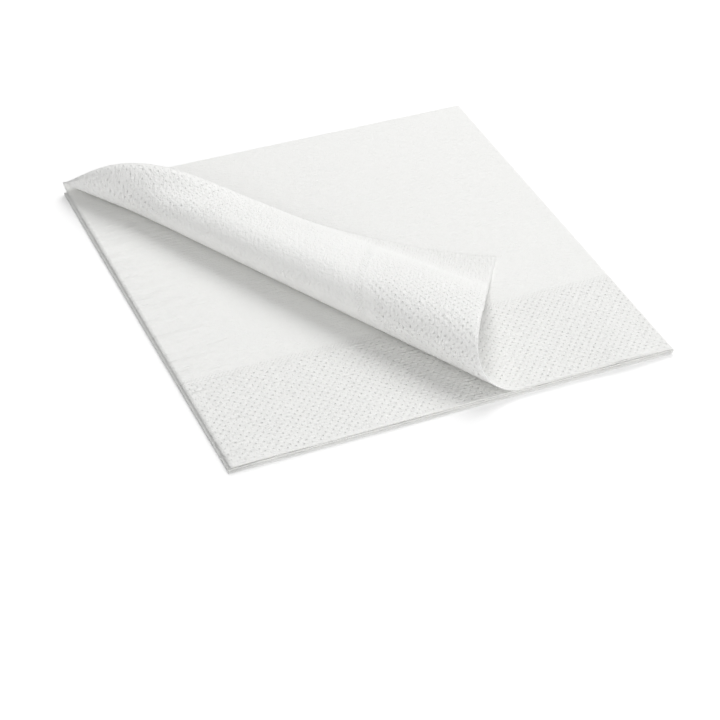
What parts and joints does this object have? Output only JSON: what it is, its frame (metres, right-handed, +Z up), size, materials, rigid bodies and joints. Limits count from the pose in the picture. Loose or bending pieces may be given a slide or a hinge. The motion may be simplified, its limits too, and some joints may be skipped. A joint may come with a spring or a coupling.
{
  "type": "paper napkin",
  "caption": "Square paper napkin folded in quarters, with an embossed border and one corner of its top leaf rolled back.",
  "frame": {"origin": "centre of the square resting face, under the folded napkin", "axes": "+X along the open front side, +Y from the open front towards the first fold, +Z up, away from the resting face"},
  "size_m": [0.165, 0.1666, 0.0251],
  "materials": {
    "tissue": "matte, embossed two-ply tissue"
  },
  "bodies": {
    "root": {"paper_napkin": "tissue"}
  },
  "joints": []
}
